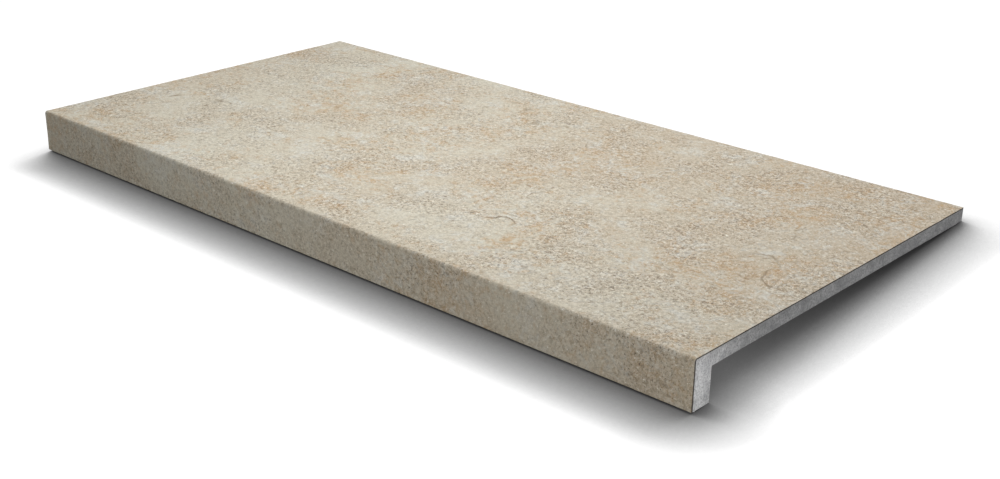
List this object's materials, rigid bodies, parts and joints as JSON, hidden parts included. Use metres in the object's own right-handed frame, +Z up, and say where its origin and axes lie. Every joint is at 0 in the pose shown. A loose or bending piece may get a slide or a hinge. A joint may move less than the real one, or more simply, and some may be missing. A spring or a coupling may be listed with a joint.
{
  "type": "stair tread tile",
  "caption": "Rectangular porcelain stair tread tile with a drop nose along its front edge: beige stone-look face and nose, grey body at the cut ends, bedded on a step.",
  "frame": {"origin": "on the floor, under the middle of the tile's box, with the tile lying as it rests", "axes": "+X along the nose, +Y from the nose to the back edge, +Z up from the floor. The walking face leans back 4.3 degrees, because the tile rests on the heel of its nose and its lower back edge"},
  "size_m": [0.6, 0.3014, 0.032],
  "materials": {
    "porcelain": "matte"
  },
  "bodies": {
    "root": {"stair_tread": "porcelain"}
  },
  "joints": []
}
